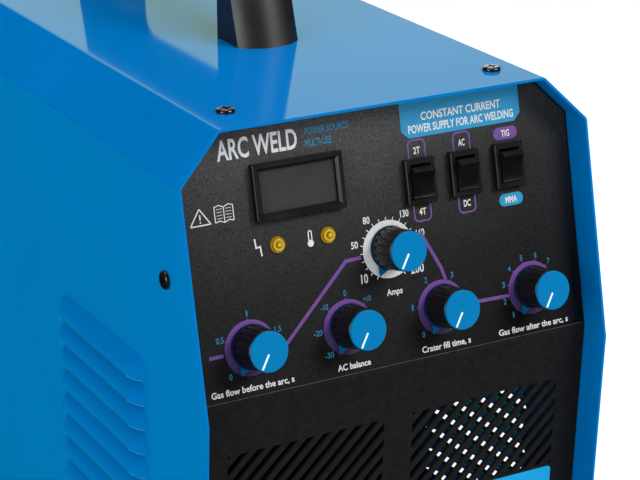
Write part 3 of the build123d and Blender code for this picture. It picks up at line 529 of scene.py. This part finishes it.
# the current curve that links the dials
FLOW_WIDTH = 1.7
start_dial, balance_dial, main_dial, crater_dial, end_dial = dial_centres
flow = [
    [(start_dial[0] - 20.8, start_dial[1] - 1.1), (start_dial[0] - RING_OUTER - 0.8, start_dial[1] - 1.1)],
    [
        (start_dial[0] + RING_OUTER + 4.6, start_dial[1] - 2.4),
        (main_dial[0] - 23.0, main_dial[1] - 1.7),
        (main_dial[0] - RING_OUTER - 2.0, main_dial[1] - 1.4),
    ],
    [
        (main_dial[0] + RING_OUTER + 4.6, main_dial[1] + 5.4),
        (main_dial[0] + 27.0, main_dial[1] - 13.4),
        (crater_dial[0] + 3.6, crater_dial[1] + RING_OUTER - 0.6),
    ],
    [
        (crater_dial[0] + RING_OUTER, crater_dial[1] - 1.0),
        (end_dial[0] - RING_OUTER, end_dial[1] - 1.6),
    ],
]
purple = [stroke(line, FLOW_WIDTH) for line in flow]

# tags round the first two switches, and pills round the third
TAG_WIDTH = 9.0
TAG_REACH = 8.4
TAG_LINE = 0.8
TAG_CORNER = 2.4
TAG_STEPS = 6
TAG_SHIFT = 0.7
ROCKER_HALF = 10.7


def tag(cx, base, reach):
    """An outlined tab that grows from a switch; reach is negative below it."""
    half = TAG_WIDTH / 2
    sign = math.copysign(1, reach)
    shoulder = base + reach - sign * TAG_CORNER
    turns = [math.pi / 2 * k / TAG_STEPS for k in range(1, TAG_STEPS)]
    left, right = cx - half + TAG_CORNER, cx + half - TAG_CORNER
    points = [(cx - half, base), (cx - half, shoulder)]
    for t in turns:
        points.append((left - TAG_CORNER * math.cos(t), shoulder + sign * TAG_CORNER * math.sin(t)))
    for t in turns:
        points.append((right + TAG_CORNER * math.sin(t), shoulder + sign * TAG_CORNER * math.cos(t)))
    points += [(cx + half, shoulder), (cx + half, base)]
    return stroke(points, TAG_LINE)


for cx, cy in rocker_places[:2]:
    purple.append(tag(cx + TAG_SHIFT, cy + ROCKER_HALF, TAG_REACH))
    purple.append(tag(cx + TAG_SHIFT, cy - ROCKER_HALF, -TAG_REACH))
PILL_HALF = (6.7, 3.0)
PILL_RISE = 15.0
PILL_DROP = 16.8
PILL_FLAT = 0.1  # half the straight stretch at each end of a pill


def pill(x, y):
    """A label with nearly half-round ends, centred on the point."""
    half_width, half_height = PILL_HALF
    radius = half_height - PILL_FLAT
    return rounded_box(x - half_width, y - half_height, x + half_width, y + half_height, radius)


third = (rocker_places[2][0] + TAG_SHIFT, rocker_places[2][1])
purple.append(pill(third[0], third[1] + PILL_RISE))
drawing("print_purple", purple, ink_purple)

# banner under the top edge
BANNER = (14.0, 79.6)
BANNER_FOOT = 105.8
BANNER_CUT = 3.6
BANNER_GAP = 0.5  # bare film above the banner
banner_head = (overlay_head - face_zero) / MM - BANNER_GAP
banner = [
    (BANNER[0], banner_head),
    (BANNER[0], BANNER_FOOT + BANNER_CUT),
    (BANNER[0] + BANNER_CUT, BANNER_FOOT),
    (BANNER[1] - BANNER_CUT, BANNER_FOOT),
    (BANNER[1], BANNER_FOOT + BANNER_CUT),
    (BANNER[1], banner_head),
]
drawing("print_banner", [banner, pill(third[0], third[1] - PILL_DROP)], ink_banner)

OVERPRINT = 0.1
MARK_HEIGHT = 3.1
banner_middle = sum(BANNER) / 2
over_words = [
    ("CONSTANT CURRENT", banner_middle + 0.3, 113.4, 3.7, 44.0, "CENTER"),
    ("POWER SUPPLY FOR ARC WELDING", banner_middle, 107.9, 3.7, 58.0, "CENTER"),
    ("TIG", third[0], third[1] + PILL_RISE - MARK_HEIGHT / 2, MARK_HEIGHT, 4.6, "CENTER"),
    ("MMA", third[0], third[1] - PILL_DROP - MARK_HEIGHT / 2, MARK_HEIGHT, 6.6, "CENTER"),
]
lettering("print_reversed", over_words, ink_white, height=OVERPRINT)

MARK_RISE = 12.6
MARK_DROP = 16.2
LABEL_HEIGHT = 2.9
LABEL_ROW = 4.6
white_words = [("ARC WELD", -80.6, 110.2, 9.0, 40.4, "LEFT")]
for (x, y), upper, lower in zip(rocker_places, ("2T", "AC"), ("4T", "DC")):
    white_words.append((upper, x + TAG_SHIFT, y + MARK_RISE, MARK_HEIGHT, 3.6, "CENTER"))
    white_words.append((lower, x + TAG_SHIFT, y - MARK_DROP, MARK_HEIGHT, 3.8, "CENTER"))
white_words += [
    ("Gas flow before the arc, s", start_dial[0] - 0.9, LABEL_ROW + 0.3, LABEL_HEIGHT, 42.0, "CENTER"),
    ("AC balance", balance_dial[0] + 1.0, LABEL_ROW + 0.2, LABEL_HEIGHT, 17.5, "CENTER"),
    ("Amps", main_dial[0] + 0.9, main_dial[1] - 21.6, LABEL_HEIGHT, 8.4, "CENTER"),
    ("Crater fill time, s", crater_dial[0] + 0.6, LABEL_ROW, LABEL_HEIGHT, 27.0, "CENTER"),
    ("Gas flow after the arc, s", end_dial[0] - 0.5, LABEL_ROW - 0.2, LABEL_HEIGHT, 40.0, "CENTER"),
]
lettering("print_white", white_words, ink_white)
subtitle = [("POWER SOURCE", -35.9, 115.6, 3.1, 22.6, "LEFT"), ("MULTI-USE", -36.3, 110.0, 3.3, 13.6, "LEFT")]
lettering("print_subtitle", subtitle, ink_cyan)

# small pictograms
TRIANGLE = [(-97.2, 83.2), (-92.2, 90.6), (-87.2, 83.2)]
EXCLAMATION = [[(-92.2, 88.0), (-92.2, 85.7)], [(-92.2, 84.9), (-92.2, 84.3)]]


def closed_stroke(points, width):
    """Strokes round a closed figure, one solid for each side."""
    sides = []
    for i, p in enumerate(points):
        sides.append(stroke([p, points[(i + 1) % len(points)]], width))
    return sides


book_x, book_y = -84.9, 83.2
PAGE = 4.6  # width of one page
PAGE_HEIGHT = 7.0
PAGE_WAVE = 0.6  # how far a page's middle stands above its outer corner
SPINE_DROP = 0.4


def page_edge(rise):
    """The waved line along the heads or the feet of both pages."""
    spine = (book_x + PAGE, book_y + rise - SPINE_DROP)
    left = [(book_x, book_y + rise), (book_x + PAGE / 2, book_y + rise + PAGE_WAVE)]
    return left, spine, [(book_x + 2 * PAGE - (x - book_x), y) for x, y in left[::-1]]


head_left, head_spine, head_right = page_edge(PAGE_HEIGHT)
foot_left, foot_spine, foot_right = page_edge(0)
book = [
    [foot_left[0], *head_left, head_spine],
    [head_spine, *head_right, foot_right[1]],
    [*foot_left, foot_spine, *foot_right],
    [foot_spine, head_spine],
]
page_lines = []
for row in (1.6, 3.0, 4.4, 5.8):
    outer, inner = (0.9, book_y + row), (3.8, book_y + row + 0.1)
    page_lines.append([(book_x + outer[0], outer[1]), (book_x + inner[0], inner[1])])
    page_lines.append([(book_x + 2 * PAGE - inner[0], inner[1]), (book_x + 2 * PAGE - outer[0], outer[1])])
fault = [[(-66.9, 72.9), (-66.5, 68.7), (-64.4, 69.0), (-64.0, 64.6)]]
heat_x, heat_y = -38.9, 66.2
heat = [
    [(heat_x - 0.8, heat_y + 1.2), (heat_x - 0.8, heat_y + 5.0)],
    [(heat_x + 0.8, heat_y + 1.2), (heat_x + 0.8, heat_y + 5.0)],
    arc(heat_x, heat_y + 5.0, 0.8, -90, 90),
]
marks = closed_stroke(TRIANGLE, 0.6)
marks += [stroke(line, 0.42) for line in book]
marks += [stroke(line, 0.7) for line in EXCLAMATION]
marks += [stroke(line, 0.22) for line in page_lines]
marks += [stroke(line, 0.7) for line in fault]
marks += [stroke(line, 0.5) for line in heat]
marks.append(arc(heat_x, heat_y, 1.6, 0, 350, 24))
drawing("print_marks", marks, ink_white)

# the cut edge of the film along the fold, a pale line that is partly the edge's own paler colour and partly
# painted highlight
EDGE_WIDTH = 0.25
EDGE_INSET = 0.3  # the pale line ends this far short of the film's corners
overlay_side = max(p.x for p in overlay_points) / MM - EDGE_INSET
edge_rise = FOOT_ABOVE_CREASE / MM + EDGE_WIDTH
drawing("film_edge", [stroke([(-overlay_side, edge_rise), (overlay_side, edge_rise)], EDGE_WIDTH)], ink_edge_and_highlight)

# paler beads along the lips of the louvers paint a highlight where the paint catches the light
LIP_RADIUS = 0.28
LIP_SIDES = 6
LIP_TURN = math.radians(50)
LIP_STAND = 0.5  # how far outside the sheet an edge has to lie
lip_painted_highlight = varied("lip_painted_highlight", (0.004, 0.19, 0.46), (0.01, 0.23, 0.52), (0.3, 0.4), specular=0.3, scale=200,
                   grain=2500, grain_depth=0.005)
cover_points = [v.co for v in nodes["cover"].data.vertices]
cover_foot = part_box("cover")[0].z + 0.1 * MM
side_plane = max(abs(p.x) for p in cover_points if p.z < cover_foot)


def louver_lips(name):
    """A thin bead of paler paint, a painted highlight, along every sharp edge that stands clear of the
    cover's sides.
    """
    limit = max(abs(cad_box[0].x), abs(cad_box[1].x))
    shell = bmesh.new()
    shell.from_mesh(nodes["cover"].data)
    bmesh.ops.remove_doubles(shell, verts=shell.verts, dist=0.001 * MM)
    beads = bmesh.new()
    for edge in shell.edges:
        start, end = (v.co for v in edge.verts)
        clear = min(abs(start.x), abs(end.x)) > side_plane + LIP_STAND * MM
        if not clear or len(edge.link_faces) != 2 or edge.calc_face_angle() < LIP_TURN:
            continue
        along = (end - start).normalized()
        across = along.orthogonal().normalized()
        other = along.cross(across)
        first, last = [], []
        for point, loop in ((start, first), (end, last)):
            for k in range(LIP_SIDES):
                angle = math.tau * k / LIP_SIDES
                spot = point + (across * math.cos(angle) + other * math.sin(angle)) * LIP_RADIUS * MM
                spot.x = max(-limit, min(limit, spot.x))
                loop.append(beads.verts.new(spot))
        for k in range(LIP_SIDES):
            beads.faces.new((first[k], first[k - 1], last[k - 1], last[k]))
        beads.faces.new(first[::-1])
        beads.faces.new(last)
    bmesh.ops.recalc_face_normals(beads, faces=beads.faces)
    mesh = bpy.data.meshes.new(name)
    beads.to_mesh(mesh)
    beads.free()
    shell.free()
    return piece(name, mesh, lip_painted_highlight)


louver_lips("louver_lips")

# white lines on the knob caps
POINTER_INNER = 1.2
POINTER_OUTER = 8.7
POINTER_WIDTH = 0.9
POINTER_ANGLE = -148.3
for number in KNOBS:
    trim = nodes[f"knob_trim_{number}"].data.vertices
    top = max(v.co.dot(face_normal) for v in trim)
    dx, dy = math.sin(math.radians(POINTER_ANGLE)), math.cos(math.radians(POINTER_ANGLE))
    line = stroke([(dx * r, dy * r) for r in (POINTER_INNER, POINTER_OUTER)], POINTER_WIDTH)
    above = (top - overlay_level) / MM
    place = knob_places[number - 1]
    drawing(f"knob_line_{number}", [line], ink_pointer, at=place, height=above, body=f"knob_{number}")

# ------------------------------------------------------------------ floor, light, camera
low, high = cad_box
bpy.ops.mesh.primitive_plane_add(size=40, location=(0, 0, low.z))
floor = bpy.context.object
floor.name = "floor"
pale_floor = varied("pale_floor", (0.93,) * 3, (0.96,) * 3, (0.6, 0.7), scale=3, grain_depth=0)
floor.data.materials.append(pale_floor)
floor.visible_glossy = False

world = bpy.data.worlds.new("studio")
bpy.context.scene.world = world
world.use_nodes = True
background = world.node_tree.nodes["Background"]
background.inputs["Color"].default_value = (0.95, 0.97, 1.0, 1)
background.inputs["Strength"].default_value = 0.68
world.cycles_visibility.glossy = False


def softbox(name, position, target, size, power, colour=(1.0, 1.0, 1.0)):
    data = bpy.data.lights.new(name, "AREA")
    data.shape = "RECTANGLE"
    data.size, data.size_y = size
    data.energy = power
    data.color = colour
    lamp = bpy.data.objects.new(name, data)
    bpy.context.scene.collection.objects.link(lamp)
    lamp.location = position
    lamp.rotation_mode = "QUATERNION"
    lamp.rotation_quaternion = (Vector(target) - Vector(position)).to_track_quat("-Z", "Y")
    lamp.visible_camera = False
    return lamp


aim = (low + high) / 2
softbox("key", (1.0, -1.5, 1.6), aim, (0.9, 0.9), 34)
softbox("top", (0.1, 0.3, 2.3), aim, (1.2, 1.2), 18)
left_fill = softbox("left_fill", (-2.3, -1.0, 0.95), aim, (2.4, 1.8), 34)
left_fill.visible_glossy = False
back_card = softbox("back_card", (1.1, 2.0, 1.15), aim, (2.4, 1.2), 15, (0.80, 1.0, 0.36))


def reflect_in(lamp, objects):
    """Lets a lamp be seen only as a reflection in these objects, as a card close to them would."""
    lit = bpy.data.collections.new(lamp.name + "_lit")
    for obj in objects:
        lit.objects.link(obj)
    lamp.light_linking.receiver_collection = lit
    lamp.visible_diffuse = False


cover = nodes["cover"]
black_pieces = [nodes[name] for name, slot in slot_of.items() if slot in ("black_plastic", "black_screw")]
reflect_in(softbox("left_card", (-2.3, -1.0, 0.9), aim, (1.2, 1.4), 34), black_pieces)
reflect_in(back_card, [cover])
other_pieces = [obj for obj in nodes.values() if obj is not cover]
reflect_in(softbox("rear_card", (0.9, 2.0, 1.15), aim, (2.4, 1.2), 22), other_pieces + [floor])
for side in (-1, 1):
    place = Vector((side * 0.6, 0, low.z + 0.005))
    bounce = softbox(f"bounce_{side}", place, place + Vector((0, 0, 1)), (0.9, 3.0), 3.5, (0.0, 1.0, 0.12))
    reflect_in(bounce, [cover])

camera_data = bpy.data.cameras.new("camera")
camera = bpy.data.objects.new("camera", camera_data)
bpy.context.scene.collection.objects.link(camera)
bpy.context.scene.camera = camera
CAMERA_AZIMUTH = -29.117
CAMERA_ELEVATION = 20.282
CAMERA_PLACE = Vector((-0.4769, -1.0115, 0.6395))
FOCAL_LENGTH = 120.64
azimuth, elevation = math.radians(CAMERA_AZIMUTH), math.radians(CAMERA_ELEVATION)
level = math.cos(elevation)
back = Vector((math.sin(azimuth) * level, -math.cos(azimuth) * level, math.sin(elevation)))
camera.location = CAMERA_PLACE
camera.rotation_mode = "QUATERNION"
camera.rotation_quaternion = (-back).to_track_quat("-Z", "Y")
camera_data.sensor_width = 36.0
camera_data.lens = FOCAL_LENGTH
camera_data.shift_x = -0.0094
camera_data.clip_start = 0.05
camera_data.clip_end = 60

bpy.context.scene.view_settings.view_transform = "Standard"
